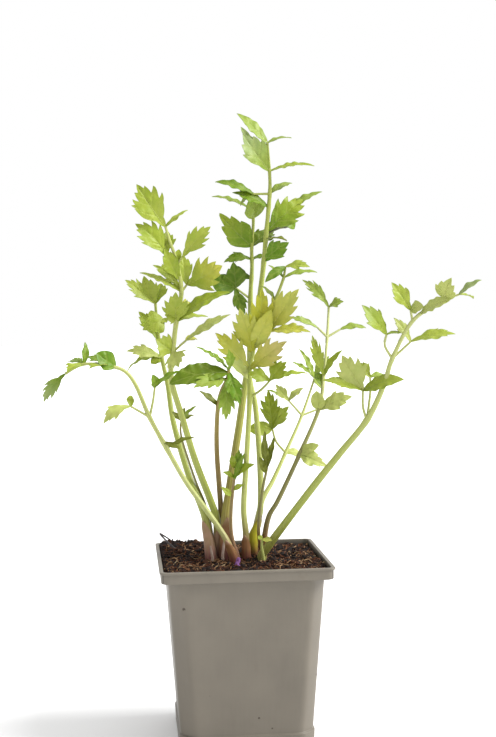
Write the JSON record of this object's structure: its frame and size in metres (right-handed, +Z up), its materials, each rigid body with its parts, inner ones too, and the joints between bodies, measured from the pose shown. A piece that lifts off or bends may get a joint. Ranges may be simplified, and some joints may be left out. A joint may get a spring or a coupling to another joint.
{
  "type": "potted herb plant",
  "caption": "Young lovage plant with upright stalks of divided, toothed leaflets, growing from soil in a square tapering nursery pot with a rim band and cut corners.",
  "frame": {"origin": "centre of the pot's flat underside, on the surface that it stands on", "axes": "+Z up along the plant, -Y towards the viewer, X along the pot's front edge"},
  "size_m": [0.2161, 0.1307, 0.3351],
  "materials": {
    "pot": "taupe-grey moulded plastic with a low sheen",
    "soil": "damp dark peat and bark potting mix",
    "leaf_green": "thin mid-green leaf with fine veins",
    "leaf_pale": "thin pale green leaf with fine veins",
    "leaf_dark": "thin dark green leaf with fine veins",
    "leaf_olive": "thin olive-brown young leaf",
    "leaf_yellow": "thin yellowing leaf with a pinkish tint",
    "crown_bud": "violet bud scale",
    "dry_stalk": "dry straw-coloured leaf stalk",
    "dry_twig": "dry dark brown twig"
  },
  "bodies": {
    "root": {"pot": "pot", "soil": "soil", "frond_far_left": "leaf_green", "frond_left_back": "leaf_green", "frond_left_front": "leaf_pale", "frond_left_young": "leaf_olive", "frond_dark_low": "leaf_dark", "frond_tallest": "leaf_green", "shoot_middle": "leaf_green", "frond_yellow": "leaf_yellow", "frond_middle_dark": "leaf_dark", "frond_right_inner": "leaf_pale", "frond_right_upright": "leaf_green", "frond_far_right": "leaf_green", "frond_bud_leaf": "leaf_dark", "shoot_at_crown": "leaf_pale", "crown_bud": "crown_bud", "dry_stalk_left": "dry_stalk", "dry_stalk_right": "dry_stalk", "dry_twig": "dry_twig"}
  },
  "joints": []
}
